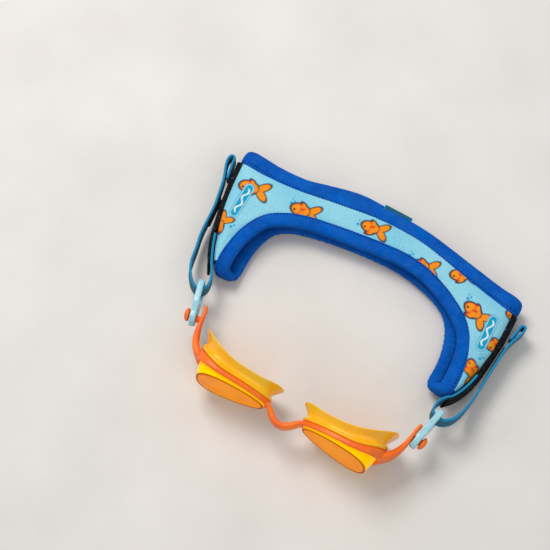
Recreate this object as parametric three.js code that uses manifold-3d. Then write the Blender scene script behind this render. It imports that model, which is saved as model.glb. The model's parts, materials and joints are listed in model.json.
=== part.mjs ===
// Child's swim goggles with a padded split head strap, lying on their lower edge with the strap laid out
// behind them.
// Millimetres. +Z is up, the lens fronts face -Y, and the origin is the bottom centre of the whole object.
import * as THREE from "three";
import { ParametricGeometry } from "three/addons/geometries/ParametricGeometry.js";
import { mergeVertices } from "three/addons/utils/BufferGeometryUtils.js";
import Module from "manifold-3d";

const wasm = await Module();
wasm.setup();

// ---- Driving dimensions ----
const GAP = 0.3; // clearance between neighbouring pieces

// Eye cups. Each outline is a squarish egg, taller towards the temple.
const EYE_MID_Z = 21;
const OUTLINE_SQUARENESS = 0.85; // below 1 is squarer than an ellipse
const TEMPLE_SWELL = 0.3; // how much taller the temple side is than the nose side
const RIM_CENTRE_X = 36.5;
const RIM_INNER = { wide: 23.6, tall: 16.4 };
const RIM_OUTER = { wide: 25.9, tall: 18.6 };
const RIM_Y = -70.3; // middle of the rim's depth, where the rim is flat
const RIM_DEPTH = 3;
const WRAP_START_X = 40; // beyond this the rim sweeps back round the temple
const WRAP_CURVE = 0.012;
const WRAP_DEEPEN = 0.0085;
const LENS_FACE = { wide: 22, tall: 14.8, centreX: 35, y: -75.2 };
const LENS_REAR = { wide: 23.2, tall: 16 };
const LENS_YAW = -0.08; // the temple end of the face stands further forward
const LENS_LEAN = 0.1; // the top edge leans back
const LENS_WALL = 1.6;
const GASKET_WALL = 1.4;
const GASKET_BASE = { wide: 23.8, tall: 16.6 };
// [share of depth, outward offset]: a root ridge, a gutter, then the flared lip that seals on the face
const GASKET_PROFILE = [[0, 1.2], [0.12, 2.1], [0.22, 1.7], [0.38, 0.5], [0.7, 2.2], [1, 4.2]];
const ROOT_GAP = 0.5; // between the back of the rim and the gasket's root
const LIP_Y = -61;
const LIP_WRAP = { startX: 33, curve: 0.0165 };
const LIP_NOSE_LOBE = { x: 14, width: 7, depth: 2.4 };

// One-piece soft frame: rims, nose bridge, arms and the studs that the clips snap on to.
const BRIDGE = { tall: 9.5, thick: 3.6, z: 22 };
const BRIDGE_PATH = [[11.5, -70.5], [9.2, -72.4], [6.3, -75.1], [3.2, -77.2], [0, -77.9]];
const ARM_PATH = [[60.6, -66], [64.9, -62.3], [67.9, -57.6], [69.7, -52.4], [71, -46], [71.6, -41],
  [72.8, -36.8]];
const ARM = { tallRoot: 17, tallTip: 8, thickRoot: 4.4, thickTip: 2 };
const STUD = { fromX: 70.8, y: -46, z: 21.5, radius: 2 };
const STUD_HEAD = { long: 8.6, tall: 6.6, thick: 3.2 };
const HEAD_CLEARANCE = 0.7;
const HEAD_SINK = 0.8; // how far the stud's shaft reaches into its head

// Strap clips, the same moulding on both sides.
const CLIP = { thick: 3.8, frontRadius: 5.6, rear: 22.6, halfTall: 8.6, boreRadius: 2.7, pitch: 10 };
const SLOT = { from: 9.8, to: 19.3, halfTall: 6.6 };

// Webbing and hook-and-loop fastening, standing on edge.
const WEB = { thick: 1.5, tall: 11.5 };
const TAPE = { thick: 1.6, tall: 11 };
const PATCH = { thick: 0.8, tall: 10 };
const FOLD_Z = 9.5; // middle height of the strap's side folds
const LOOP_Z = 18.1; // middle height of the webbing where it passes through a clip
const RISE_FROM_Y = -6;
const RISE_LENGTH = 18;
const HINGE_SPLIT = 0.45; // half the opening between a webbing's sewn leg and its tail

// Neoprene strap and its bindings.
const NEOPRENE = 3.5;
const WING_TOP_Z = 16; // middle of the upper layer's thickness at the sides
const BACK_TOP_Z = 13.5; // and at the back, where it sags
const NEAR_BINDING = { wide: 8.8, thick: 5.8 };
const FAR_BINDING = { wide: 9.8, thick: 4.8 };
const ROLL = { tip: 1.4, full: 7, fullAt: 0.45 };
const LAYER_TIP = { thick: 1.2, until: 0.35 }; // a layer thins towards the near binding, over this share of it
const SAG = { centreX: -5, reach: 80, start: 1.15 };
const BAND_DROP = { side: 0.6, back: 0.4 }; // the bindings' middles lie this much below the upper layer's
const BAND_LIFT = 0.2; // and this much above the surface that the goggles lie on
const SEAM_TRIM = { near: 0.004, far: 0.03 }; // share of a binding's length left free at each end of a layer
const CORNER_PULL = 8; // how sharply a layer's long edges turn towards its folds
const TAB = { fromX: -12, toX: 7, fromY: 62, toY: 78.5, z: 7.1, thick: 1.4 };

// Plan shapes of the laid-out strap, as [x, y] points on smooth curves. Side curves run from front to back
// and give x as a distance from the goggles' centre plane, so that one function can build both sides.
const SIDES = {
  right: {
    sign: 1,
    clipYaw: 11.5,
    clipX: 74.8,
    sewnLeg: [[87.3, 8], [85.5, 0.5], [83, -6], [80, -11.8], [76.8, -15.9], [74.9, -19.5], [74.2, -23],
      [74.6, -26.1], [76.5, -28.5], [79.4, -29.2], [82.4, -28.7]],
    tail: [[82.4, -28.7], [85.3, -26.9], [87.6, -24.3], [89.4, -19.8], [90.9, -13], [92, -5], [92.7, 6],
      [93.6, 18], [94.7, 31], [96.6, 38.5], [99.2, 45.3], [99, 48.4], [97, 48.3], [95.8, 44], [94.5, 38]],
    patch: [4, 34],
    tape: [[78.4, -16.9], [81.6, -12.9], [84.9, -6.9], [87.5, 0], [89.3, 7.5], [90.6, 19.5], [91.6, 34],
      [91.5, 51]],
    fold: [[82.2, -4], [84, 1], [85.9, 8], [89.3, 19.5], [90.3, 34], [90.1, 51]],
  },
  left: {
    sign: -1,
    clipYaw: 16.5,
    clipX: 76.6,
    sewnLeg: [[93.2, 8], [90.5, 0.6], [87.7, -5.4], [84.6, -11.4], [82.2, -15.4], [80.2, -19.2], [79, -22.8],
      [78.9, -26], [80, -28.7], [82, -30.1], [84.2, -30.2], [86.3, -29.3]],
    tail: [[86.3, -29.3], [88.8, -27.5], [91.1, -24.9], [93.2, -22], [95.2, -17.8], [96.9, -12.9],
      [98.6, -6.1], [100.9, 4.5], [102.6, 23], [104.2, 31], [106.7, 41.5], [110.3, 51.1], [110.8, 54.9],
      [109.9, 57.1], [108, 57.1], [106.8, 52], [105, 43]],
    patch: [6, 38],
    tape: [[84.9, -15.6], [86.9, -12], [90, -5.8], [93.8, 3.8], [96.8, 13.5], [99.3, 24], [102.1, 39],
      [104.2, 54.8]],
    fold: [[87.2, -4], [89.2, 1], [91.9, 8.5], [95.4, 16], [98, 24], [100.8, 39], [102.8, 54.6]],
  },
};
// Centre lines of the bindings, from the left tip or corner to the right one.
const NEAR_UPPER = [[-79, -5], [-78.8, 6], [-76.3, 18], [-70.5, 29.5], [-60, 37], [-48, 41.5], [-36, 44],
  [-22.8, 46.2], [-10, 48], [2, 49.4], [15, 50.2], [28.5, 48.8], [40.5, 45], [51.5, 39.9], [61, 33.8],
  [68, 27.6], [72.4, 19], [74.6, 8], [75.3, -5]];
const NEAR_LOWER = [[-73, -5], [-73, 5], [-72.5, 13.5], [-70, 24], [-66, 31.5], [-57, 38], [-40, 43],
  [-20, 46.5], [0, 48.5], [15, 48.8], [30, 46.8], [45, 42.5], [54, 37.3], [60, 30.5], [64, 22], [66.6, 12],
  [67.5, 3], [67.5, -5]];
const NEAR_TIPS = {
  left: [[-78.4, -9.3, 12.6], [-75.8, -10.4, 9], [-73.6, -9, 5.6]],
  right: [[74.4, -9.2, 12.6], [71.2, -9.9, 9], [68.4, -8.6, 5.6]],
};
const FAR_UPPER = [[-97.5, 60.3], [-78, 59.5], [-61, 60.7], [-39, 64.4], [-18, 67.8], [2, 69], [18.5, 68.3],
  [33, 66], [47.3, 63.2], [61.5, 60.4], [75.5, 57.9], [86, 56.8]];
const FAR_LOWER = [[-97, 60], [-78, 62], [-61, 65], [-44, 69.5], [-28, 73], [-12, 73.2], [5, 71.5], [20, 69],
  [33, 66.5], [47.3, 63.5], [61.5, 60.5], [75.5, 57.6], [85, 55.8]];
const FAR_CORNERS = { left: [-101.3, 60.5], right: [89.4, 56.6] };

// ---- General helpers ----
const smooth = (t) => THREE.MathUtils.smoothstep(t, 0, 1);
const plan = (points, z = 0) => points.map(([x, y]) => new THREE.Vector3(x, y, z));
const curveOf = (points, loop = false) => new THREE.CatmullRomCurve3(points, loop, "centripetal");

function signedVolume(geometry) {
  const p = geometry.attributes.position;
  const [a, b, c] = [new THREE.Vector3(), new THREE.Vector3(), new THREE.Vector3()];
  let sum = 0;
  for (let i = 0; i < geometry.index.count; i += 3) {
    a.fromBufferAttribute(p, geometry.index.getX(i));
    b.fromBufferAttribute(p, geometry.index.getX(i + 1));
    c.fromBufferAttribute(p, geometry.index.getX(i + 2));
    sum += a.dot(b.cross(c));
  }
  return sum / 6;
}

// Shares the vertices of a geometry, drops collapsed triangles and turns its faces outwards.
function closed(geometry) {
  geometry.deleteAttribute("normal");
  geometry.deleteAttribute("uv");
  const merged = mergeVertices(geometry, 1e-4);
  const old = merged.index.array;
  const kept = [];
  for (let i = 0; i < old.length; i += 3) {
    const [a, b, c] = [old[i], old[i + 1], old[i + 2]];
    if (a !== b && b !== c && c !== a) kept.push(a, b, c);
  }
  merged.setIndex(kept);
  if (signedVolume(merged) < 0) merged.setIndex(kept.map((_, i) => kept[i - (i % 3) + (2 - (i % 3))]));
  return merged;
}

// A surface of rows, each a ring of points. pointAt(i, j) gives point i of row j, and loop joins the last
// row to the first.
function rings(around, rows, pointAt, loop = false) {
  const steps = loop ? rows : rows - 1;
  const place = (u, v, target) => {
    const i = Math.round(u * around) % around;
    const j = Math.round(v * steps) % rows;
    target.copy(pointAt(i, j));
  };
  return closed(new ParametricGeometry(place, around, steps));
}

// Sweeps a section along a curve. wide(t) points along the section's second axis, and section(t) lists
// [thick, wide] points.
function sweep(curve, rows, section, wide, loop = false) {
  const around = section(0).length;
  const total = loop ? rows : rows + 2;
  return rings(around, total, (i, j) => {
    const step = loop ? j / rows : THREE.MathUtils.clamp(j - 1, 0, rows - 1) / (rows - 1);
    const centre = curve.getPointAt(step);
    if (!loop && (j === 0 || j === total - 1)) return centre;
    const along = curve.getTangentAt(step);
    const across = wide(step, centre).clone();
    across.addScaledVector(along, -across.dot(along)).normalize();
    const thin = new THREE.Vector3().crossVectors(along, across);
    const [a, b] = section(step)[i];
    return centre.addScaledVector(thin, a).addScaledVector(across, b);
  }, loop);
}

const box = (thick, wide) => {
  const [t, w] = [thick / 2, wide / 2];
  return [[-t, -w], [t, -w], [t, w], [-t, w]];
};

// A rectangle with cut corners.
function soft(thick, wide) {
  const [t, w] = [thick / 2, wide / 2];
  const c = Math.min(t, w) * 0.6;
  const half = [[-t + c, -w], [t - c, -w], [t, -w + c], [t, w - c]];
  return [...half, ...half.map(([a, b]) => [-a, -b])];
}

const oval = (thick, wide, points = 8) => Array.from({ length: points }, (_, i) => {
  const angle = (2 * Math.PI * (i + 0.5)) / points;
  return [(Math.cos(angle) * thick) / 2, (Math.sin(angle) * wide) / 2];
});

function solid(geometry) {
  const vertProperties = new Float32Array(geometry.attributes.position.array);
  const triVerts = new Uint32Array(geometry.index.array);
  return new wasm.Manifold(new wasm.Mesh({ numProp: 3, vertProperties, triVerts }));
}

function geometryOf(manifold) {
  const mesh = manifold.getMesh();
  const geometry = new THREE.BufferGeometry();
  geometry.setAttribute("position", new THREE.BufferAttribute(new Float32Array(mesh.vertProperties), 3));
  geometry.setIndex(new THREE.BufferAttribute(new Uint32Array(mesh.triVerts), 1));
  return geometry;
}

const join = (parts) => geometryOf(parts.map(solid).reduce((a, b) => a.add(b)));
const cut = (body, tool) => geometryOf(solid(body).subtract(solid(tool)));
const mirrored = (geometry, sign) => (sign > 0 ? geometry : closed(geometry.clone().scale(-1, 1, 1)));

// ---- Eye cups ----
function eggPoint(angle, wide, tall, centreX = RIM_CENTRE_X) {
  const [c, s] = [Math.cos(angle), Math.sin(angle)];
  const across = Math.sign(c) * Math.abs(c) ** OUTLINE_SQUARENESS;
  const up = Math.sign(s) * Math.abs(s) ** OUTLINE_SQUARENESS;
  return { x: centreX + wide * across, z: EYE_MID_Z + tall * up * (1 + TEMPLE_SWELL * across) };
}

function rimY(x, share) {
  const past = Math.max(0, x - WRAP_START_X) ** 2;
  return RIM_Y + WRAP_CURVE * past + (share - 0.5) * (RIM_DEPTH + WRAP_DEEPEN * past);
}

function lipY(x) {
  const wrap = LIP_WRAP.curve * Math.max(0, x - LIP_WRAP.startX) ** 2;
  const lobe = LIP_NOSE_LOBE.depth * Math.exp(-(((x - LIP_NOSE_LOBE.x) / LIP_NOSE_LOBE.width) ** 2));
  return LIP_Y + wrap + lobe;
}

function rimRing() {
  const around = 40;
  const section = [[0.2, 0], [0.8, 0], [1, 0.2], [1, 0.8], [0.8, 1], [0.2, 1], [0, 0.8], [0, 0.2]];
  return rings(section.length, around, (i, j) => {
    const [out, back] = section[i];
    const wide = THREE.MathUtils.lerp(RIM_INNER.wide, RIM_OUTER.wide, out);
    const tall = THREE.MathUtils.lerp(RIM_INNER.tall, RIM_OUTER.tall, out);
    const { x, z } = eggPoint((2 * Math.PI * j) / around, wide, tall);
    return new THREE.Vector3(x, rimY(x, back), z);
  }, true);
}

// A cup: flat front plate, side wall reaching back into the rim, open at the rear.
function lens() {
  const around = 40;
  const faceY = (x, z) => LENS_FACE.y + LENS_YAW * (x - LENS_FACE.centreX) + LENS_LEAN * (z - EYE_MID_Z);
  const front = (angle, inset, back) => {
    const { x, z } = eggPoint(angle, LENS_FACE.wide - inset, LENS_FACE.tall - inset, LENS_FACE.centreX);
    return new THREE.Vector3(x, faceY(x, z) + back, z);
  };
  const rear = (angle, inset) => {
    const { x, z } = eggPoint(angle, LENS_REAR.wide - inset, LENS_REAR.tall - inset);
    return new THREE.Vector3(x, rimY(x, 0.5), z);
  };
  const centre = (back) => new THREE.Vector3(LENS_FACE.centreX, LENS_FACE.y + back, EYE_MID_Z);
  const rows = [
    () => centre(LENS_WALL), (a) => front(a, LENS_WALL, LENS_WALL), (a) => rear(a, LENS_WALL),
    (a) => rear(a, 0), (a) => front(a, 0, 0.5), (a) => front(a, 0.5, 0), () => centre(0),
  ];
  return rings(around, rows.length, (i, j) => rows[j]((2 * Math.PI * i) / around));
}

function gasket() {
  const around = 40;
  const outer = GASKET_PROFILE;
  const ridge = 1; // the root ridge is on the outside only
  const inner = GASKET_PROFILE.filter((_, i) => i !== ridge)
    .reverse()
    .map(([share, out]) => [share, out - GASKET_WALL]);
  const section = [...outer, ...inner];
  return rings(section.length, around, (i, j) => {
    const [share, out] = section[i];
    const angle = (2 * Math.PI * j) / around;
    const base = eggPoint(angle, GASKET_BASE.wide, GASKET_BASE.tall);
    const { x, z } = eggPoint(angle, GASKET_BASE.wide + out, GASKET_BASE.tall + out);
    const root = rimY(x, 1) + ROOT_GAP;
    return new THREE.Vector3(x, THREE.MathUtils.lerp(root, lipY(base.x), share), z);
  }, true);
}

// ---- Frame ----
const UP = new THREE.Vector3(0, 0, 1);

function bridge() {
  const half = BRIDGE_PATH;
  const points = plan([...half, ...half.slice(0, -1).reverse().map(([x, y]) => [-x, y])], BRIDGE.z);
  const section = (t) => {
    const root = smooth(Math.abs(t - 0.5) * 5 - 1.5);
    return soft(BRIDGE.thick - root * 1.2, BRIDGE.tall + root * 2);
  };
  return sweep(curveOf(points), 17, section, () => UP);
}

function arm() {
  const height = THREE.MathUtils.lerp(EYE_MID_Z, STUD.z, 0.8);
  const section = (t) => soft(
    THREE.MathUtils.lerp(ARM.thickRoot, ARM.thickTip, smooth(t)),
    THREE.MathUtils.lerp(ARM.tallRoot, ARM.tallTip, smooth(t * 1.6)),
  );
  return sweep(curveOf(plan(ARM_PATH, height)), 12, section, () => UP);
}

// The stud runs through the clip's bore along the swivel axis, and its domed head holds the clip on.
function stud({ clipX, clipYaw }) {
  const yaw = THREE.MathUtils.degToRad(clipYaw);
  const headX = clipX + (CLIP.thick / 2 + HEAD_CLEARANCE) / Math.cos(yaw);
  const endX = headX + HEAD_SINK;
  const shaft = new THREE.CylinderGeometry(STUD.radius, STUD.radius, endX - STUD.fromX, 16);
  shaft.rotateZ(Math.PI / 2).translate((endX + STUD.fromX) / 2, STUD.y, STUD.z);
  const half = STUD_HEAD.thick / 2;
  const dome = [[0, 0], [0.85, 0], [1, half * 0.4], [0.93, half], [0.65, half * 1.6], [0, STUD_HEAD.thick]];
  const head = new THREE.LatheGeometry(dome.map(([out, up]) => new THREE.Vector2(out, up)), 20);
  head.rotateZ(-Math.PI / 2).scale(1, STUD_HEAD.long / 2, STUD_HEAD.tall / 2);
  head.rotateZ(-yaw).translate(headX, STUD.y, STUD.z);
  return [closed(shaft), closed(head)];
}

function frame() {
  const parts = [bridge()];
  for (const side of Object.values(SIDES)) {
    parts.push(...[rimRing(), arm(), ...stud(side)].map((part) => mirrored(part, side.sign)));
  }
  return join(parts);
}

// ---- Clips ----
// Drawn flat with the bore at the origin and the webbing slot behind it, then stood up on the stud.
function clip({ clipX, clipYaw }) {
  const outline = new THREE.Shape();
  const corner = 3;
  const [r, end, half] = [CLIP.frontRadius, CLIP.rear, CLIP.halfTall];
  outline.absarc(0, 0, r, Math.PI / 2, (3 * Math.PI) / 2, false);
  outline.bezierCurveTo(4, -r, 5, -half, 9, -half);
  outline.lineTo(end - corner, -half);
  outline.quadraticCurveTo(end, -half, end, -half + corner);
  outline.lineTo(end, half - corner);
  outline.quadraticCurveTo(end, half, end - corner, half);
  outline.lineTo(9, half);
  outline.bezierCurveTo(5, half, 4, r, 0, r);
  const slot = new THREE.Path();
  slot.moveTo(SLOT.from, -SLOT.halfTall);
  slot.lineTo(SLOT.to, -SLOT.halfTall);
  slot.lineTo(SLOT.to, SLOT.halfTall);
  slot.lineTo(SLOT.from, SLOT.halfTall);
  outline.holes.push(slot);
  const bevel = 0.6;
  const plate = new THREE.ExtrudeGeometry(outline, {
    depth: CLIP.thick - 2 * bevel, steps: 1, curveSegments: 6,
    bevelEnabled: true, bevelThickness: bevel, bevelSize: bevel, bevelOffset: -bevel, bevelSegments: 1,
  });
  plate.translate(0, 0, -CLIP.thick / 2 + bevel);
  // flat X runs backwards along the clip, flat Y is up and the thickness lies across
  plate.rotateX(Math.PI / 2).rotateZ(Math.PI / 2);
  plate.rotateX(THREE.MathUtils.degToRad(-CLIP.pitch)).rotateZ(THREE.MathUtils.degToRad(-clipYaw));
  plate.translate(clipX, STUD.y, STUD.z);
  const bore = new THREE.CylinderGeometry(CLIP.boreRadius, CLIP.boreRadius, 20, 20);
  bore.rotateZ(Math.PI / 2).translate(clipX, STUD.y, STUD.z);
  return cut(closed(plate), closed(bore));
}

// ---- Webbing, loop tape and hook patches ----
// How far a point has risen from the fold's height to the clip's, from 0 to 1.
const riseAt = (y) => smooth((RISE_FROM_Y - y) / RISE_LENGTH);

function edgewise(points) {
  return points.map(([x, y]) => new THREE.Vector3(x, y, THREE.MathUtils.lerp(FOLD_Z, LOOP_Z, riseAt(y))));
}

// Webbing stands upright on the fold and leans with the clip where it passes through the slot.
function edgeUp(_, centre) {
  const lean = THREE.MathUtils.degToRad(CLIP.pitch) * riseAt(centre.y);
  return new THREE.Vector3(0, Math.sin(lean), Math.cos(lean));
}

// The part of a curve between two shares of its length, as a new curve.
function stretch(curve, from, to, count = 24) {
  const share = (i) => THREE.MathUtils.lerp(from, to, i / (count - 1));
  return curveOf(Array.from({ length: count }, (_, i) => curve.getPointAt(share(i))));
}

function sewnLeg(side) {
  const whole = curveOf(edgewise(side.sewnLeg));
  const used = stretch(whole, 0, 1 - HINGE_SPLIT / whole.getLength());
  return sweep(used, 26, () => box(WEB.thick, WEB.tall), edgeUp);
}

function tail(side) {
  const whole = curveOf(edgewise(side.tail));
  const used = stretch(whole, HINGE_SPLIT / whole.getLength(), 1, 60);
  return sweep(used, 46, () => box(WEB.thick, WEB.tall), edgeUp);
}

function shiftedIn(points, distance) {
  const curve = curveOf(plan(points));
  const count = 24;
  return Array.from({ length: count }, (_, i) => {
    const t = i / (count - 1);
    const along = curve.getTangentAt(t);
    const at = curve.getPointAt(t);
    return [at.x - along.y * distance, at.y + along.x * distance];
  });
}

function hookPatch(side) {
  const [from, to] = side.patch;
  const beside = side.tail.slice(0, 10).filter(([, y]) => y > from - 12 && y < to + 6);
  const curve = curveOf(edgewise(shiftedIn(beside, (WEB.thick + PATCH.thick) / 2 + GAP)));
  const steps = 100;
  const share = (y) => {
    let i = 0;
    while (i < steps && curve.getPointAt(i / steps).y < y) i += 1;
    return i / steps;
  };
  return sweep(stretch(curve, share(from), share(to)), 12, () => box(PATCH.thick, PATCH.tall), edgeUp);
}

function loopTape(side) {
  return sweep(curveOf(edgewise(side.tape)), 20, () => soft(TAPE.thick, TAPE.tall), edgeUp);
}

// ---- Neoprene strap ----
function sagZ(x, side, back) {
  const share = smooth(SAG.start - Math.abs(x - SAG.centreX) / SAG.reach);
  return THREE.MathUtils.lerp(side, back, share);
}

function bindingHeights(points, upper, thick) {
  return points.map(([x, y]) => {
    const raised = sagZ(x, WING_TOP_Z - BAND_DROP.side, BACK_TOP_Z - BAND_DROP.back);
    return new THREE.Vector3(x, y, upper ? raised : thick / 2 + BAND_LIFT);
  });
}

function nearBinding() {
  const upper = bindingHeights(NEAR_UPPER, true, NEAR_BINDING.thick);
  const lower = bindingHeights(NEAR_LOWER, false, NEAR_BINDING.thick);
  const tip = (points) => points.map((p) => new THREE.Vector3(...p));
  const loop = [...upper, ...tip(NEAR_TIPS.right), ...lower.reverse(), ...tip(NEAR_TIPS.left).reverse()];
  const outward = (_, centre) => new THREE.Vector3(centre.x + 3, centre.y - 8, 0);
  return sweep(curveOf(loop, true), 84, () => oval(NEAR_BINDING.thick, NEAR_BINDING.wide), outward, true);
}

function farBinding() {
  const upper = bindingHeights(FAR_UPPER, true, FAR_BINDING.thick);
  const lower = bindingHeights(FAR_LOWER, false, FAR_BINDING.thick);
  const corner = ([x, y]) => new THREE.Vector3(x, y, FOLD_Z);
  const loop = [...upper, corner(FAR_CORNERS.right), ...lower.reverse(), corner(FAR_CORNERS.left)];
  const backward = () => new THREE.Vector3(0, 1, 0);
  return sweep(curveOf(loop, true), 72, () => oval(FAR_BINDING.thick, FAR_BINDING.wide), backward, true);
}

// A side fold seen in plan: the mid-surface line where a layer turns over, from front to back.
function foldLine(side, inset) {
  return curveOf(plan(side.fold.map(([x, y]) => [side.sign * (x - inset), y])));
}

// Middle surface of one layer. u runs from the near binding to the far one and v from the left fold to the
// right one.
function layer(upper) {
  const near = upper ? NEAR_UPPER : NEAR_LOWER;
  const far = upper ? FAR_UPPER : FAR_LOWER;
  const thickAt = (u) => THREE.MathUtils.lerp(LAYER_TIP.thick, NEOPRENE, smooth(u / LAYER_TIP.until));
  const rollAt = (u) => THREE.MathUtils.lerp(ROLL.tip, ROLL.full, smooth(u / ROLL.fullAt));
  const offsetLine = (points, distance) => curveOf(plan(shiftedIn(points, distance)));
  const nearEdge = offsetLine(near, NEAR_BINDING.wide / 2 + 6 * GAP);
  const farEdge = offsetLine(far, -FAR_BINDING.wide / 2 - GAP);
  const rollEnd = (side, u) => {
    const at = foldLine(side, 0).getPointAt(u);
    at.x -= side.sign * (thickAt(u) / 2 + rollAt(u));
    return at;
  };
  const ends = { left: (u) => rollEnd(SIDES.left, u), right: (u) => rollEnd(SIDES.right, u) };
  const trimmed = (edge, trim, v) => edge.getPointAt(THREE.MathUtils.lerp(trim, 1 - trim, v));
  const nearAt = (v) => trimmed(nearEdge, SEAM_TRIM.near, v);
  const farAt = (v) => trimmed(farEdge, SEAM_TRIM.far, v);
  const flat = (u, v) => {
    const [l, r] = [ends.left(u), ends.right(u)];
    const [l0, l1, r0, r1] = [ends.left(0), ends.left(1), ends.right(0), ends.right(1)];
    const [n, f] = [nearAt(v), farAt(v)];
    // correct the near and far edges so that they start and end on the folds
    const [fadeLeft, fadeRight] = [(1 - v) ** CORNER_PULL, v ** CORNER_PULL];
    n.addScaledVector(l0.clone().sub(nearAt(0)), fadeLeft);
    n.addScaledVector(r0.clone().sub(nearAt(1)), fadeRight);
    f.addScaledVector(l1.clone().sub(farAt(0)), fadeLeft);
    f.addScaledVector(r1.clone().sub(farAt(1)), fadeRight);
    const out = n.multiplyScalar(1 - u).addScaledVector(f, u);
    out.addScaledVector(l, 1 - v).addScaledVector(r, v);
    out.addScaledVector(l0, -(1 - u) * (1 - v)).addScaledVector(l1, -u * (1 - v));
    out.addScaledVector(r0, -(1 - u) * v).addScaledVector(r1, -u * v);
    out.z = upper ? sagZ(out.x, WING_TOP_Z, BACK_TOP_Z) : NEOPRENE / 2;
    return out;
  };
  const startZ = FOLD_Z + (upper ? GAP / 2 : -GAP / 2);
  const rolled = (side, u, angle) => {
    const at = foldLine(side, 0).getPointAt(u);
    const inward = thickAt(u) / 2 + rollAt(u) * (1 - Math.cos(angle));
    at.x -= side.sign * inward;
    at.z = THREE.MathUtils.lerp(startZ, upper ? WING_TOP_Z : NEOPRENE / 2, Math.sin(angle));
    return at;
  };
  return { flat, rolled, thickAt };
}

function panel(upper) {
  const { flat, rolled, thickAt } = layer(upper);
  const [acrossSteps, rollSteps, flatSteps] = [5, 3, 18];
  const quarter = (k) => (k / rollSteps) * (Math.PI / 2);
  const rows = [];
  for (let k = 0; k < rollSteps; k += 1) rows.push((u) => rolled(SIDES.left, u, quarter(k)));
  for (let k = 0; k <= flatSteps; k += 1) rows.push((u) => flat(u, k / flatSteps));
  for (let k = rollSteps - 1; k >= 0; k -= 1) rows.push((u) => rolled(SIDES.right, u, quarter(k)));
  const last = rows.length - 1;
  const awayFromFold = upper ? 1 : -1;
  // a layer leaves its folds upright
  const directionAt = (u, j) => {
    if (j === 0) return new THREE.Vector3(0, 0, awayFromFold);
    if (j === last) return new THREE.Vector3(0, 0, -awayFromFold);
    return rows[j + 1](u).sub(rows[j - 1](u));
  };
  const nearby = 0.05;
  const normalAt = (u, j) => {
    const across = rows[j](Math.min(1, u + nearby)).sub(rows[j](Math.max(0, u - nearby)));
    return directionAt(u, j).cross(across).normalize();
  };
  const around = 2 * (acrossSteps + 1);
  return rings(around, rows.length + 2, (i, k) => {
    const j = THREE.MathUtils.clamp(k - 1, 0, last);
    const top = i <= acrossSteps;
    const u = (top ? i : around - 1 - i) / acrossSteps;
    const at = rows[j](u);
    if (k === 0 || k === last + 2) return at;
    return at.addScaledVector(normalAt(u, j), ((top ? 1 : -1) * thickAt(u)) / 2);
  });
}

function centreTab() {
  const tab = new THREE.BoxGeometry(TAB.toX - TAB.fromX, TAB.toY - TAB.fromY, TAB.thick);
  return closed(tab.translate((TAB.fromX + TAB.toX) / 2, (TAB.fromY + TAB.toY) / 2, TAB.z));
}

// ---- Materials ----
const finish = (color, roughness) => new THREE.MeshStandardMaterial({ color, roughness, metalness: 0 });
const ORANGE_RUBBER = finish(0xf47a1e, 0.42);
const AMBER_LENS = finish(0xe8971e, 0.12);
const YELLOW_RUBBER = finish(0xfbb800, 0.3);
const PALE_BLUE_PLASTIC = finish(0xa9dcea, 0.35);
const TEAL_WEBBING = finish(0x0d86b8, 0.8);
const BLACK_HOOK = finish(0x101214, 0.95);
const PRINTED_NEOPRENE = finish(0x92d2e6, 0.85);
const ROYAL_BINDING = finish(0x0a5cc4, 0.8);

// ---- Assembly ----
const goggles = new THREE.Group();
function add(name, geometry, material) {
  const mesh = new THREE.Mesh(geometry, material.clone());
  mesh.name = name;
  goggles.add(mesh);
}

add("frame", frame(), ORANGE_RUBBER);
for (const [name, side] of Object.entries(SIDES)) {
  add(`lens_${name}`, mirrored(lens(), side.sign), AMBER_LENS);
  add(`gasket_${name}`, mirrored(gasket(), side.sign), YELLOW_RUBBER);
  add(`clip_${name}`, mirrored(clip(side), side.sign), PALE_BLUE_PLASTIC);
  add(`webbing_${name}`, mirrored(sewnLeg(side), side.sign), TEAL_WEBBING);
  add(`tail_${name}`, mirrored(tail(side), side.sign), TEAL_WEBBING);
  add(`loop_tape_${name}`, mirrored(loopTape(side), side.sign), BLACK_HOOK);
  add(`hook_patch_${name}`, mirrored(hookPatch(side), side.sign), BLACK_HOOK);
}
add("upper_panel", panel(true), PRINTED_NEOPRENE);
add("lower_panel", panel(false), PRINTED_NEOPRENE);
add("near_binding", nearBinding(), ROYAL_BINDING);
add("far_binding", farBinding(), ROYAL_BINDING);
add("centre_tab", centreTab(), TEAL_WEBBING);

// The origin is the bottom centre of the whole object.
const extent = new THREE.Box3().setFromObject(goggles);
goggles.position.set(-(extent.min.x + extent.max.x) / 2, -(extent.min.y + extent.max.y) / 2, -extent.min.z);

export default goggles;
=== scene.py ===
"""Looks of a child's swim goggles with a padded, printed head strap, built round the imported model."""

import json
import math

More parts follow.
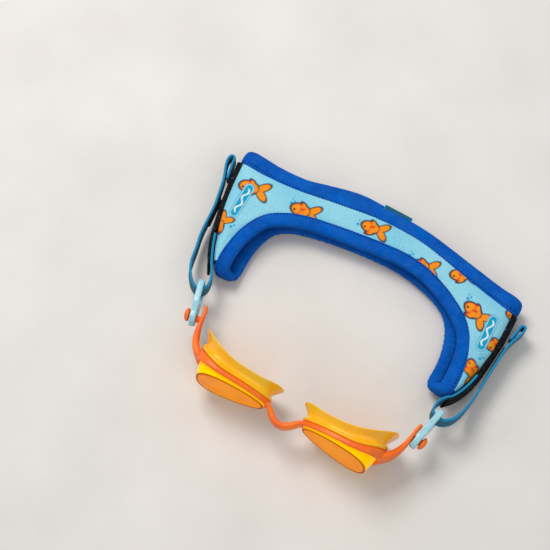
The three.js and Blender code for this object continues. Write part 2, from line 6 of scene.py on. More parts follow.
import bmesh
import bpy
import numpy as np
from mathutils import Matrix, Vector


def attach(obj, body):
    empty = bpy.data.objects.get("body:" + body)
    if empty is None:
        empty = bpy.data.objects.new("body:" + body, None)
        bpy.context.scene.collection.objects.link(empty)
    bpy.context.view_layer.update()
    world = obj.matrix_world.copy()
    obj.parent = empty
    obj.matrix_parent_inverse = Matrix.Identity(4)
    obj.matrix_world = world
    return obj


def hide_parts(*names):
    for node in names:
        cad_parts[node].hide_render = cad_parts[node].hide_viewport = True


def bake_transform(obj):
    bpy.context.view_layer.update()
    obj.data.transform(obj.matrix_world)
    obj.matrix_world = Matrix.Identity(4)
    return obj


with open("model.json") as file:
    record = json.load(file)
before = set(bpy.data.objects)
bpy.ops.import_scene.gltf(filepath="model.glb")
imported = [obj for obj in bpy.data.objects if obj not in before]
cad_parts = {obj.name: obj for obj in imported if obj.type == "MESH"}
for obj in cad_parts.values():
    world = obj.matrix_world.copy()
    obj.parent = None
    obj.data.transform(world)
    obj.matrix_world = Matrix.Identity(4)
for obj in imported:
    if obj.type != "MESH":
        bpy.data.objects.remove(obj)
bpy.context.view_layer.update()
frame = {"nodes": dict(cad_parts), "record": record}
joints = {joint["name"]: joint for joint in frame["record"]["behaviour"]["joints"]}

# The shapes below are in the goggles' own millimetres. x = 0 is the centre plane of the eye cups, the lens
# fronts face -y and z = 0 is the underside of the strap. The right tail's hinge ties them to the packed
# model.
MM = 0.001
MM_TO_DM = 0.01
RIGHT_TAIL_HINGE = np.array([82.4, -28.7, 18.1])
SHIFT = np.array(joints["tail_right_peel"]["pos_m"]) / MM - RIGHT_TAIL_HINGE

# ---- Eye cups ----
EYE_MID_Z = 21.0
OUTLINE_SQUARENESS = 0.85
TEMPLE_SWELL = 0.3
RIM_CENTRE_X = 36.5
RIM_Y = -70.3
RIM_DEPTH = 3.0
WRAP_START_X = 40.0
WRAP_CURVE = 0.012
WRAP_DEEPEN = 0.0085
LENS_CENTRE_X = 35.0
LENS_Y = -75.2
LENS_FRONT = (22.0, 14.8)
LENS_REAR = (23.3, 16.1)
LENS_YAW = -0.08
LENS_LEAN = 0.1
LENS_WALL = 1.6
LENS_MIDDLE_INSET = 14.7  # where the rings of a lens face close up, just short of its middle
LENS_RING_INSET = 8.0
LENS_EDGE_DEPTH = 0.6  # how far behind the face its rounded edge begins
ROUND_STEPS = 128  # points round an eye cup
GASKET_BASE = (23.8, 16.6)
# [share of depth, outward offset] from the root to the lip, outside then inside
GASKET_PROFILE = [(0, 0.6), (0.01, 1.3), (0.06, 2.0), (0.12, 2.2), (0.18, 1.9), (0.26, 1.1), (0.36, 0.6),
                  (0.5, 0.9), (0.68, 2.1), (0.85, 3.4), (0.97, 4.3), (1, 4.2), (0.99, 3.8), (0.85, 2.4),
                  (0.68, 1.0), (0.5, -0.3), (0.36, -0.7), (0.2, -0.5), (0.02, -0.2)]
ROOT_GAP = 0.2  # between the back of the rim and the gasket's root
NOSE_FLARE = 1.4  # how much further the lip flares beside the nose
NOSE_FLARE_REACH = 9.0
LIP_Y = -61.0
LIP_WRAP_START_X = 33.0
LIP_WRAP_CURVE = 0.0165
NOSE_LOBE = (14.0, 7.0, 2.4)  # place, width and depth of the lip's lobe beside the nose
FRAME_VOXEL = 0.32  # grain of the skins that round the moulded pieces' edges
CLIP_VOXEL = 0.25

# ---- Strap ----
WEB_THICK = 1.5
WEB_TALL = 11.8
WEB_STEP = 0.28
RIB_PITCH = 1.1
RIB_DEPTH = 0.05
THREAD_PITCH = 0.75
BIGHT_POINT = 8  # the webbing's point at the turn round the clip's bar
LIT_EDGE_START = 1.1  # painted light on a strip's long edges begins this far inside them
LIT_EDGE_FADE = 0.5
TAPE_THICK = 1.7
TAPE_TALL = 10.8
TAPE_WRAP = 3.0  # how far the tape's long edges curl over the fold
TAPE_WRAP_FROM_Y = 1.0
TAPE_WRAP_LENGTH = 16.0
TAPE_FUZZ = 0.1
PATCH_THICK = 0.8
PATCH_TALL = 10.0
CLOTH_STEP = 0.5
FOLD_Z = 9.5
LOOP_Z = 18.1
RISE_FROM_Y = -6.0
RISE_LENGTH = 18.0
CLIP_PITCH = math.radians(10)
NEOPRENE = 3.5
WING_TOP_Z = 16.0
BACK_TOP_Z = 13.5
SAG_CENTRE_X = -5.0
SAG_REACH = 80.0
SAG_START = 1.15
LAYER_TIP = 1.6  # a layer's thickness under the bindings
NEAR_TAPER = 0.35  # shares of a layer's width over which it thins to that
FAR_TAPER = 0.16
LAYER_INSET = 1.5  # how far the layer's long edges lie inside the bindings' centre lines
ROLL_TIP = 1.4
ROLL_SWELL = 5.6
ROLL_FULL_AT = 0.45
NEAR_TRIM = 0.02  # share of a binding's length left free at each end of a layer's near edge
FAR_TRIM = 0.03
CORNER_PULL = 8  # how sharply a layer's long edges turn towards its folds
PADDING_SWELL = 0.35
BAND_DROP_SIDE = 0.6  # the bindings' middles lie this much below the upper layer's
BAND_DROP_BACK = 0.4
BAND_LIFT = 0.2  # how far the bindings' lower runs stand clear of the floor
NEAR_WIDE = 9.4
NEAR_THICK = 6.0
FAR_WIDE = 10.2
FAR_THICK = 5.0
BAND_SQUARENESS = 2.6
NEAR_HUB = (-3.0, 8.0)  # the near band is wide in the direction away from this point
PUCKER = (0.03, 0.008)  # how much puckers change a band's thickness and its width, as shares
GATHER = (0.09, 0.035)
SEAM_DEPTH = 0.16
SEAM_WIDTH = 0.09
STITCH_LENGTH = 1.25
STITCH_PITCH = 1.9
STITCH_RADIUS = 0.2
STITCH_ROW_OFFSET = 0.06  # half the gap between two rows of stitches, as a share of the half width
BAND_STEP = 0.8
TAB_X = -2.5
TAB_THICK = 0.55
TAB_WIDE = 19.0
TAB_EDGE = 0.9

# Side curves run from the goggles' end to the rear, with x as a distance from the centre plane. bend is the
# stretch over which a tail's webbing turns when it is peeled off.
SIDES = {
    "right": {
        "sign": 1,
        "webbing": [[87.3, 8], [85.5, 0.5], [83, -6], [80, -11.8], [76.8, -15.9], [74.9, -19.5],
                    [74.2, -23], [74.6, -26.1], [76.5, -28.5], [79.4, -29.2], [82.4, -28.7], [85.3, -26.9],
                    [87.6, -24.3], [89.4, -19.8], [90.9, -13], [92, -5], [92.7, 6], [93.6, 18], [94.7, 31],
                    [96.6, 38.5], [99.2, 45.3], [99, 48.4], [97, 48.3], [95.8, 44], [94.5, 38]],
        "bend": [[78.7, -30.2, LOOP_Z], [88.0, -26.5, LOOP_Z]],
        "patch": [[92.0, 4], [92.6, 18], [93.5, 31.5]],
        "tape": [[78.4, -16.9], [81.6, -12.9], [84.9, -6.9], [87.5, 0], [89.3, 7.5], [90.6, 19.5],
                 [91.6, 34], [91.4, 51.8]],
        "fold": [[81, -7], [84, 1], [85.9, 8], [89.3, 19.5], [90.3, 34], [90.2, 54]],
    },
    "left": {
        "sign": -1,
        "webbing": [[93.2, 8], [90.5, 0.6], [87.7, -5.4], [84.6, -11.4], [82.2, -15.4], [80.2, -19.2],
                    [79, -22.8], [78.9, -26], [80, -28.7], [82, -30.1], [84.2, -30.2], [86.3, -29.3],
                    [88.8, -27.5], [91.1, -24.9], [93.2, -22], [95.2, -17.8], [96.9, -12.9], [98.6, -6.1],
                    [100.9, 4.5], [102.6, 23], [104.2, 31], [106.7, 41.5], [110.3, 51.1], [110.8, 54.9],
                    [109.9, 57.1], [108, 57.1], [106.8, 52], [105, 43]],
        "bend": [[82.8, -31.3, LOOP_Z], [93.3, -25.4, LOOP_Z]],
        "patch": [[100.5, 12.5], [101.2, 20], [102.2, 30]],
        "tape": [[85.5, -13.5], [87.3, -10], [89.9, -5.4], [93.8, 3.8], [96.8, 13.5], [99.3, 24],
                 [102.1, 39], [104.3, 55.6]],
        "fold": [[85.4, -7], [89.2, 1], [91.9, 8.5], [95.4, 16], [98, 24], [100.8, 39], [103, 57.5]],
    },
}
# Centre lines of the bindings, from the left tip or corner to the right one.
NEAR_UPPER = [[-79, -5], [-78.8, 6], [-76.3, 18], [-70.5, 29.5], [-60, 37], [-48, 41.5], [-36, 44],
              [-22.8, 46.2], [-10, 48], [2, 49.4], [15, 50.2], [28.5, 48.8], [40.5, 45], [51.5, 39.9],
              [61, 33.8], [68, 27.6], [72.4, 19], [74.6, 8], [75.3, -5]]
NEAR_LOWER = [[-73, -5], [-73, 5], [-72.5, 13.5], [-70, 24], [-66, 31.5], [-57, 38], [-40, 43], [-20, 46.5],
              [0, 48.5], [15, 48.8], [30, 46.8], [45, 42.5], [54, 37.3], [60, 30.5], [64, 22], [66.6, 12],
              [67.5, 3], [67.5, -5]]
NEAR_TIPS = {"left": [[-78.4, -9.3, 12.6], [-75.8, -10.4, 9], [-73.6, -9, 5.6]],
             "right": [[74.4, -9.2, 12.6], [71.2, -9.9, 9], [68.4, -8.6, 5.6]]}
FAR_UPPER = [[-97.5, 60.3], [-78, 59.5], [-61, 60.7], [-39, 64.4], [-18, 67.8], [2, 69], [18.5, 68.3],
             [33, 66], [47.3, 63.2], [61.5, 60.4], [75.5, 57.9], [86, 56.8]]
FAR_LOWER = [[-97, 60], [-78, 62], [-61, 65], [-44, 69.5], [-28, 73], [-12, 73.2], [5, 71.5], [20, 69],
             [33, 66.5], [47.3, 63.5], [61.5, 60.5], [75.5, 57.6], [85, 55.8]]
FAR_CORNERS = {"left": [-101.3, 60.5], "right": [89.4, 56.6]}

# Printed motifs on the upper layer, in plan: x, y, turn and, for the fish, scale.
FISH = [(-88, 43.5, 3.3, 1.45), (-53.5, 46.5, 3.3, 1.4), (-11, 58.2, 3.25, 1.3), (27, 51.5, 3.35, 1.3),
        (50.5, 58, 3.6, 1.3), (68, 41, 2.8, 1.4), (89, 30, 3.9, 1.2), (83, 8.5, 2.2, 1.2),
        (91, 52, 3.4, 1.2), (-94, 13, 4.4, 1.2)]
MARKS = [(-89, 33.5, 1.55), (80.6, 33, 1.63)]
BUBBLES = [(-86.5, 15.5), (-62, 47.5), (-20, 56), (17, 54), (60.5, 46.5), (84, 17)]
BUBBLE_GROUP = [(0, 0, 0.9), (1.5, 1.7, 0.65), (-0.3, 2.7, 0.5)]  # x, y and radius of each of its bubbles
PRINT_SOFTNESS = 0.22
FISH_OUTLINE = 0.48
MARK_HALF_LENGTH = 9.0  # of the capsule's straight middle
MARK_RADIUS = 3.3


# ---- Curves ----
def smooth(t):
    t = np.clip(t, 0, 1)
    return t * t * (3 - 2 * t)


class Line:
    """A centripetal Catmull-Rom curve through points, walked by share of its length."""

    def __init__(self, points, loop=False, steps=24):
        p = np.array([list(q) + [0] * (3 - len(q)) for q in points], float)
        if loop:
            p = np.vstack([p[-1], p, p[0], p[1]])
        else:
            p = np.vstack([2 * p[0] - p[1], p, 2 * p[-1] - p[-2]])
        rows = []
        for a, b, c, d in zip(p, p[1:], p[2:], p[3:]):
            rows.extend(self.segment(a, b, c, d, np.arange(steps) / steps))
        rows.append(p[-2])
        self.points = np.array(rows)
        gaps = np.linalg.norm(np.diff(self.points, axis=0), axis=1)
        self.at_length = np.concatenate([[0], np.cumsum(gaps)])
        self.length = self.at_length[-1]
        self.steps = steps

    def share_of(self, index):
        """The share of the curve's length at which it passes its point number index."""
        return self.at_length[index * self.steps] / self.length

    @staticmethod
    def segment(a, b, c, d, shares):
        k1 = max(np.linalg.norm(b - a) ** 0.5, 1e-6)
        k2 = k1 + max(np.linalg.norm(c - b) ** 0.5, 1e-6)
        k3 = k2 + max(np.linalg.norm(d - c) ** 0.5, 1e-6)
        out = []
        for t in k1 + shares * (k2 - k1):
            ab = a * (k1 - t) / k1 + b * t / k1
            bc = b * (k2 - t) / (k2 - k1) + c * (t - k1) / (k2 - k1)
            cd = c * (k3 - t) / (k3 - k2) + d * (t - k2) / (k3 - k2)
            abc = ab * (k2 - t) / k2 + bc * t / k2
            bcd = bc * (k3 - t) / (k3 - k1) + cd * (t - k1) / (k3 - k1)
            out.append(abc * (k2 - t) / (k2 - k1) + bcd * (t - k1) / (k2 - k1))
        return out

    def at(self, shares):
        s = np.atleast_1d(shares) * self.length
        return np.stack([np.interp(s, self.at_length, self.points[:, k]) for k in range(3)], axis=-1)

    def along(self, shares):
        s = np.atleast_1d(shares)
        step = 0.3 / self.length
        return unit(self.at(np.clip(s + step, 0, 1)) - self.at(np.clip(s - step, 0, 1)))


def unit(v):
    return v / np.maximum(np.linalg.norm(v, axis=-1, keepdims=True), 1e-9)


def offset_line(points, distance):
    """The plan curve beside points, to the left of its direction by distance."""
    line = Line(points)
    shares = np.linspace(0, 1, 24)
    along = line.along(shares)
    beside = line.at(shares) + distance * np.stack([-along[:, 1], along[:, 0], 0 * shares], axis=-1)
    return Line(beside)


# ---- Meshes ----
def mesh_object(name, points, faces, attributes=None):
    mesh = bpy.data.meshes.new(name)
    mesh.from_pydata([tuple(p) for p in (np.asarray(points) + SHIFT) * MM], [], faces)
    mesh.validate()
    shell = bmesh.new()
    shell.from_mesh(mesh)
    bmesh.ops.recalc_face_normals(shell, faces=shell.faces)
    shell.to_mesh(mesh)
    shell.free()
    for key, values in (attributes or {}).items():
        layer = mesh.attributes.new(key, "FLOAT_COLOR", "POINT")
        rgba = np.ones((len(points), 4))
        rgba[:, :values.shape[1]] = values
        layer.data.foreach_set("color", rgba.ravel())
    mesh.polygons.foreach_set("use_smooth", [True] * len(mesh.polygons))
    piece = bpy.data.objects.new(name, mesh)
    bpy.context.scene.collection.objects.link(piece)
    return piece


def grid_faces(rows, around, loop_rows=False):
    faces = []
    for j in range(rows if loop_rows else rows - 1):
        for i in range(around):
            a, b = j * around + i, j * around + (i + 1) % around
            c, d = ((j + 1) % rows) * around + (i + 1) % around, ((j + 1) % rows) * around + i
            faces.append((a, b, c, d))
    return faces


def ring_object(name, rings, loop_rows=False, attributes=None):
    """A skin over rings, an array of rows x around x 3. Open rows are closed with end faces."""
    rows, around = rings.shape[:2]
    faces = grid_faces(rows, around, loop_rows)
    if not loop_rows:
        faces.append(tuple(range(around)))
        faces.append(tuple(range((rows - 1) * around, rows * around)))
    flat = {k: v.reshape(-1, v.shape[-1]) for k, v in (attributes or {}).items()}
    return mesh_object(name, rings.reshape(-1, 3), faces, flat)


def swept_rings(centres, along, wide, section):
    """Places section points [thick, wide] round each centre. section is around x 2 or rows x around x 2."""
    wide = unit(wide - along * np.sum(wide * along, axis=-1, keepdims=True))
    thin = np.cross(along, wide)
    section = np.broadcast_to(section, (len(centres),) + np.asarray(section).shape[-2:])
    return (centres[:, None] + thin[:, None] * section[..., :1] + wide[:, None] * section[..., 1:])


def rounded_strip(thick, wide, corner_points=4, face_points=6):
    """A strip's section: two flat faces joined by round edges."""
    r = thick / 2
    half = wide / 2 - r
    edge = np.linspace(0, math.pi, corner_points + 2)
    top = [(r * math.cos(a), half + r * math.sin(a)) for a in edge]
    left = [(-r, y) for y in np.linspace(half, -half, face_points)[1:-1]]
    bottom = [(-r * math.cos(a), -half - r * math.sin(a)) for a in edge]
    right = [(r, y) for y in np.linspace(-half, half, face_points)[1:-1]]
    return np.array(top + left + bottom + right)


def cushion_section(thick, wide, points=40, power=BAND_SQUARENESS):
    """A plump band's section: a squarish oval."""
    a = 2 * np.pi * (np.arange(points) + 0.5) / points
    c, s = np.cos(a), np.sin(a)
    e = 2 / power
    across = np.sign(s) * np.abs(s) ** e * wide / 2
    return np.stack([np.sign(c) * np.abs(c) ** e * thick / 2, across], axis=-1)


# ---- Materials ----
class Paint:
    """A material under construction: a Principled shader and short ways to add nodes to it."""

    def __init__(self, name):
        self.material = bpy.data.materials.new(name)
        self.material.use_nodes = True
        self.tree = self.material.node_tree
        self.shader = self.tree.nodes["Principled BSDF"]

    def add(self, kind, inputs=None, **settings):
        node = self.tree.nodes.new(kind)
        for key, value in settings.items():
            setattr(node, key, value)
        for key, value in (inputs or {}).items():
            self.put(node.inputs[key], value)
        return node

    def put(self, socket, value):
        if isinstance(value, bpy.types.NodeSocket):
            self.tree.links.new(value, socket)
        else:
            socket.default_value = value

    def set(self, **inputs):
        for key, value in inputs.items():
            self.put(self.shader.inputs[key.replace("_", " ")], value)

    def place(self, scale=(1, 1, 1)):
        coordinate = self.add("ShaderNodeTexCoord")
        mapping = self.add("ShaderNodeMapping", {"Vector": coordinate.outputs["Object"], "Scale": scale})
        return mapping.outputs["Vector"]

    def attribute(self, name):
        return self.add("ShaderNodeAttribute", attribute_name=name).outputs

    def noise(self, scale, detail=3, vector=None):
        inputs = {"Scale": scale, "Detail": detail, "Vector": vector or self.place()}
        return self.add("ShaderNodeTexNoise", inputs).outputs["Fac"]

    def math(self, operation, a, b=0.0):
        node = self.add("ShaderNodeMath", operation=operation)
        self.put(node.inputs[0], a)
        self.put(node.inputs[1], b)
        return node.outputs["Value"]

    def mix(self, share, a, b, blend="MIX"):
        node = self.add("ShaderNodeMix", data_type="RGBA", blend_type=blend)
        self.put(node.inputs["Factor"], share)
        self.put(node.inputs[6], a)
        self.put(node.inputs[7], b)
        return node.outputs[2]

    def band(self, value, low, high):
        node = self.add("ShaderNodeMapRange", {"Value": value, "From Min": low, "From Max": high})
        return node.outputs["Result"]

    def bump(self, height, distance, strength=1.0):
        inputs = {"Height": height, "Distance": distance, "Strength": strength}
        self.set(Normal=self.add("ShaderNodeBump", inputs).outputs["Normal"])


def rgb(r, g, b):
    """A colour given as 0 to 255 on screen, in the linear values shaders use."""
    linear = [(c / 255 / 12.92) if c < 11 else ((c / 255 + 0.055) / 1.055) ** 2.4 for c in (r, g, b)]
    return (*linear, 1.0)


def moulded_paint(name, dyes, roughness, glow, coat):
    """Rubber or plastic: slow colour drift, faint scuffs in the gloss and a fine moulded grain."""
    p = Paint(name)
    drift = p.band(p.noise(60, 2), 0.35, 0.65)
    scuffs = p.band(p.noise(360, 6), 0.45, 0.75)
    p.set(Base_Color=p.mix(drift, *dyes))
    p.set(Roughness=p.math("ADD", p.math("MULTIPLY", scuffs, 0.16), roughness))
    p.set(Subsurface_Weight=glow, Subsurface_Radius=(0.006, 0.003, 0.001), Subsurface_Scale=1.0)
    p.set(Coat_Weight=coat, Coat_Roughness=0.08)
    p.bump(p.noise(2600, 2), 0.00002, 0.5)
    return p.material


def lens_paint():
    """Amber polycarbonate: deep amber face, a bright yellow side wall painted where light comes through it,
    and a brown line of painted shade in the groove round the face.
    """
    p = Paint("amber polycarbonate")
    zone = p.add("ShaderNodeSeparateColor", {"Color": p.attribute("zone")["Color"]}).outputs
    drift = p.band(p.noise(45, 2), 0.3, 0.7)
    face = p.mix(drift, rgb(240, 152, 0), rgb(228, 124, 0))
    # painted light: the side wall is a brighter yellow where light comes through the thin wall
    body = p.mix(zone["Red"], rgb(255, 204, 0), face)
    # painted shade: the brown edge line darkens the groove round the face
    colour = p.mix(zone["Green"], body, rgb(140, 50, 0))
    p.set(Base_Color=colour)
    # the cup gathers light through its walls, so its shaded faces still glow
    p.set(Emission_Color=colour, Emission_Strength=0.3)
    p.set(Roughness=p.math("ADD", p.math("MULTIPLY", p.noise(300, 5), 0.1), 0.04))
    p.set(IOR=1.2, Transmission_Weight=0.1, Specular_IOR_Level=0.12)
    p.set(Subsurface_Weight=0.3, Subsurface_Radius=(0.008, 0.004, 0.0008), Subsurface_Scale=1.0)
    return p.material


def webbing_paint():
    """Woven elastic: dark teal faces with cross ribs, painted highlights where the weave peaks and bright
    blue painted light on the strip's edges.
    """
    p = Paint("woven elastic")
    run = p.add("ShaderNodeSeparateColor", {"Color": p.attribute("run")["Color"]}).outputs
    rib = p.math("SINE", p.math("MULTIPLY", run["Red"], 2 * math.pi / (RIB_PITCH * MM_TO_DM)))
    thread = p.math("SINE", p.math("MULTIPLY", run["Green"], 2 * math.pi / (THREAD_PITCH * MM_TO_DM)))
    weave = p.math("MULTIPLY", rib, thread)
    drift = p.band(p.noise(150, 3), 0.3, 0.7)
    face = p.mix(drift, rgb(0, 84, 112), rgb(0, 62, 94))
    # painted highlight: the face is lighter where the weave peaks
    face = p.mix(p.band(weave, -0.6, 1), face, rgb(4, 116, 144))
    # painted light: the edges facing up to the light get a brighter blue, lighter again on the ribs
    edge = p.mix(p.band(rib, -1, 1), rgb(0, 120, 172), rgb(6, 150, 200))
    p.set(Base_Color=p.mix(run["Blue"], face, edge))
    p.set(Roughness=0.75, Sheen_Weight=0.08, Sheen_Roughness=0.5, Specular_IOR_Level=0.3)
    p.bump(weave, 0.00012, 0.7)
    return p.material


def hook_paint():
    """Black fastening tape: dense fibre loops, darker between them as painted shade, and a few pale painted
    glints.
    """
    p = Paint("fastening tape")
    loops = p.add("ShaderNodeTexVoronoi", {"Scale": 1500, "Vector": p.place()}).outputs["Distance"]
    # painted glints: pale sparkles where the hooks catch the light
    painted_glints = p.band(p.noise(900, 4), 0.62, 0.72)
    # painted shade: lighter in the middle of each loop cell, darker between the loops
    fibre = p.mix(p.band(loops, 0.1, 0.6), rgb(34, 38, 44), rgb(9, 11, 14))
    p.set(Base_Color=p.mix(p.math("MULTIPLY", painted_glints, 0.5), fibre, rgb(110, 150, 165)))
    p.set(Roughness=0.92, Sheen_Weight=0.04, Sheen_Roughness=0.4, Specular_IOR_Level=0.15)
    p.bump(loops, 0.0004, 1.0)
    return p.material


def jersey_paint(name, dyes=None, knit=2100.0):
    """Knitted jersey over neoprene, dyed between two shades; the lining's two are darkened to navy as
    painted shade. Without dyes it wears the print.
    """
    p = Paint(name)
    base = p.mix(p.band(p.noise(70, 4), 0.3, 0.7), *dyes) if dyes else p.attribute("print")["Color"]
    loops = p.add("ShaderNodeTexVoronoi", {"Scale": knit, "Vector": p.place((1, 0.6, 1))})
    stitch = loops.outputs["Distance"]
    worn = p.band(p.noise(220, 6), 0.4, 0.8)
    shaded = p.mix(p.math("MULTIPLY", p.band(stitch, 0.15, 0.7), 0.22), base, rgb(0, 40, 90), "MULTIPLY")
    p.set(Base_Color=p.mix(p.math("MULTIPLY", worn, 0.015), shaded, rgb(235, 245, 250)))
    p.set(Roughness=p.math("ADD", p.math("MULTIPLY", worn, 0.1), 0.78))
    p.set(Sheen_Weight=0.01, Sheen_Roughness=0.4, Specular_IOR_Level=0.05)
    fold = p.math("MULTIPLY", p.noise(160, 3), 2.0)
    p.bump(p.math("ADD", fold, p.math("MULTIPLY", stitch, -0.5)), 0.00035, 0.6)
    return p.material


def floor_paint():
    p = Paint("pale floor")
    grain = p.noise(900, 5)
    drift = p.band(p.noise(14, 4), 0.3, 0.7)
    p.set(Base_Color=p.mix(drift, rgb(226, 223, 219), rgb(216, 213, 208)), Roughness=0.85)
    p.bump(grain, 0.0002, 0.4)
    return p.material


# ---- Eye cups ----
def egg(angle, wide, tall, centre_x=RIM_CENTRE_X):
    """Points of an eye cup's outline: a squarish egg, taller towards the temple."""
    c, s = np.cos(angle), np.sin(angle)
    across = np.sign(c) * np.abs(c) ** OUTLINE_SQUARENESS
    up = np.sign(s) * np.abs(s) ** OUTLINE_SQUARENESS
    return centre_x + wide * across, EYE_MID_Z + tall * up * (1 + TEMPLE_SWELL * across)


def rim_y(x, share):
    """Where the rim is at x, at a share of its depth: 0 is its front and 1 its back."""
    past = np.maximum(0, x - WRAP_START_X) ** 2
    return RIM_Y + WRAP_CURVE * past + (share - 0.5) * (RIM_DEPTH + WRAP_DEEPEN * past)


def lip_y(x):
    """Where the face seal's lip is at x."""
    at, width, depth = NOSE_LOBE
    wrap = LIP_WRAP_CURVE * np.maximum(0, x - LIP_WRAP_START_X) ** 2
    return LIP_Y + wrap + depth * np.exp(-(((x - at) / width) ** 2))


def mirrored(rings, sign):
    return rings * np.array([sign, 1, 1])


def lens(side, sign):
    """A lens cup: rings from the middle of its hollow, out over the rim edge and up the wall to the face."""
    angle = 2 * np.pi * np.arange(ROUND_STEPS) / ROUND_STEPS

    def front(inset, back):
        x, z = egg(angle, LENS_FRONT[0] - inset, LENS_FRONT[1] - inset, LENS_CENTRE_X)
        y = LENS_Y + LENS_YAW * (x - LENS_CENTRE_X) + LENS_LEAN * (z - EYE_MID_Z) + back
        return np.stack([x, y, z], axis=-1)

    def rear(inset):
        x, z = egg(angle, LENS_REAR[0] - inset, LENS_REAR[1] - inset)
        return np.stack([x, rim_y(x, 0.5), z], axis=-1)

    wall, outer_edge = rear(0), front(0, LENS_EDGE_DEPTH)
    # [ring, face share, edge-line share]: where the face share is 0 the wall's bright yellow is painted
    # light, and the edge line is painted shade
    hollow = [(front(LENS_MIDDLE_INSET, LENS_WALL), 1, 0), (front(LENS_RING_INSET, LENS_WALL), 1, 0),
              (front(LENS_WALL, LENS_WALL), 0.3, 0), (rear(LENS_WALL), 0, 0)]
    side_wall = [(wall * (1 - t) + outer_edge * t, 0, 0) for t in (0, 0.25, 0.5, 0.75, 1)]
    # a rounded edge, then the fine groove round the face, with the dark line painted into it as shade
    edge = [(front(0.08, 0.25), 0.2, 0.7), (front(0.35, 0.04), 0.6, 1), (front(0.9, 0), 1, 0.8),
            (front(1.1, 0.18), 1, 0.9), (front(1.35, 0.2), 1, 0.6), (front(1.6, 0.02), 1, 0.1)]
    face = [(front(inset, 0), 1, 0) for inset in (3, LENS_RING_INSET, LENS_MIDDLE_INSET)]
    rows = hollow + side_wall + edge + face
    rings = mirrored(np.array([r[0] for r in rows]), sign)
    zone = np.array([[[r[1], r[2], 0]] * ROUND_STEPS for r in rows], float)
    piece = ring_object(f"lens_cup_{side}", rings, attributes={"zone": zone})
    finish_piece(piece, PAINTS["lens"], f"lens_{side}", "goggles")


def gasket(side, sign):
    """A face seal: its profile swept round the eye cup, flaring further beside the nose."""
    angle = 2 * np.pi * np.arange(ROUND_STEPS) / ROUND_STEPS
    base_x, _ = egg(angle, *GASKET_BASE)
    beside_nose = np.exp(-(((base_x - RIM_CENTRE_X + GASKET_BASE[0]) / NOSE_FLARE_REACH) ** 2))
    profile = Line([*GASKET_PROFILE, GASKET_PROFILE[0]], steps=3).points
    rows = []
    for share, out, _ in profile[:-1]:
        flare = out + NOSE_FLARE * share ** 2 * beside_nose
        x, z = egg(angle, GASKET_BASE[0] + flare, GASKET_BASE[1] + flare)
        root = rim_y(x, 1) + ROOT_GAP
        rows.append(np.stack([x, root + (lip_y(base_x) - root) * share, z], axis=-1))
    rings = mirrored(np.array(rows), sign)
    piece = ring_object(f"face_seal_{side}", rings, loop_rows=True)
    finish_piece(piece, PAINTS["gasket"], f"gasket_{side}", "goggles")


def mould(node, paint, voxel, rounds):
    """Rounds a CAD piece's edges like a moulded part, in rounds of smoothing, and gives it its material."""
    part = frame["nodes"][node]
    remesh = part.modifiers.new("skin", "REMESH")
    remesh.mode = "VOXEL"
    remesh.voxel_size = voxel * MM
    remesh.use_smooth_shade = True
    soften = part.modifiers.new("soften", "SMOOTH")
    soften.factor = 0.5
    soften.iterations = rounds
    part.data.materials.clear()
    part.data.materials.append(paint)


# ---- Strap webbing, tape and patches ----
def edgewise(points, sign):
    """Plan points with heights: strips rise from the strap's folds to the clips."""
    p = np.array(points, float)
    rise = smooth((RISE_FROM_Y - p[:, 1]) / RISE_LENGTH)
    return np.stack([sign * p[:, 0], p[:, 1], FOLD_Z + (LOOP_Z - FOLD_Z) * rise], axis=-1)


def edge_up(centres):
    """The direction across a strip: upright on the strap, and leaning with the clips near them."""
    lean = CLIP_PITCH * smooth((RISE_FROM_Y - centres[:, 1]) / RISE_LENGTH)
    return np.stack([0 * lean, np.sin(lean), np.cos(lean)], axis=-1)


def strip(name, points, sign, section_at, step, first=0, last=-1):
    """A strip standing on edge along points, from point first to point last.

    section_at(centres, lengths) gives its sections.
    """
    line = Line(edgewise(points, sign))
    start, end = line.share_of(first), line.share_of(last % len(points))
    shares = np.linspace(start, end, max(8, int(line.length * (end - start) / step)))
    centres = line.at(shares)
    lengths = shares * line.length
    section = section_at(centres, lengths)
    rings = swept_rings(centres, line.along(shares), edge_up(centres), section)
    section = np.broadcast_to(section, rings.shape[:2] + (2,))
    # where the webbing's material paints light on the strip's edges
    edge = smooth((np.abs(section[..., 1]) - WEB_TALL / 2 + LIT_EDGE_START) / LIT_EDGE_FADE)
    run = run_colours(np.broadcast_to(lengths[:, None], edge.shape), section[..., 1], edge)
    return ring_object(name, rings, attributes={"run": run})


def run_colours(along, across, edge):
    """What the webbing's material reads: the distances along and across, and 1 at the strip's edges, where
    it paints light.
    """
    return np.stack([along * MM_TO_DM, across * MM_TO_DM, edge], axis=-1)


def webbing(side, data):
    """One side's webbing: the leg sewn to the strap and the tail that comes back from the clip."""
    sign = data["sign"]

    def section_at(centres, lengths):
        ribs = 1 + RIB_DEPTH * np.sin(lengths * 2 * np.pi / RIB_PITCH)
        section = np.repeat(rounded_strip(WEB_THICK, WEB_TALL)[None], len(lengths), axis=0)
        section[..., 0] *= ribs[:, None]
        return section

    leg = strip(f"sewn_leg_{side}", data["webbing"], sign, section_at, WEB_STEP, last=BIGHT_POINT)
    finish_piece(leg, PAINTS["webbing"], f"webbing_{side}", "strap")
    # the tail starts in the bight round the clip's bar
    tail = strip(f"peeling_tail_{side}", data["webbing"], sign, section_at, WEB_STEP, first=BIGHT_POINT)
    tail.data.materials.append(PAINTS["webbing"])
    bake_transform(tail)
    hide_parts(f"tail_{side}")


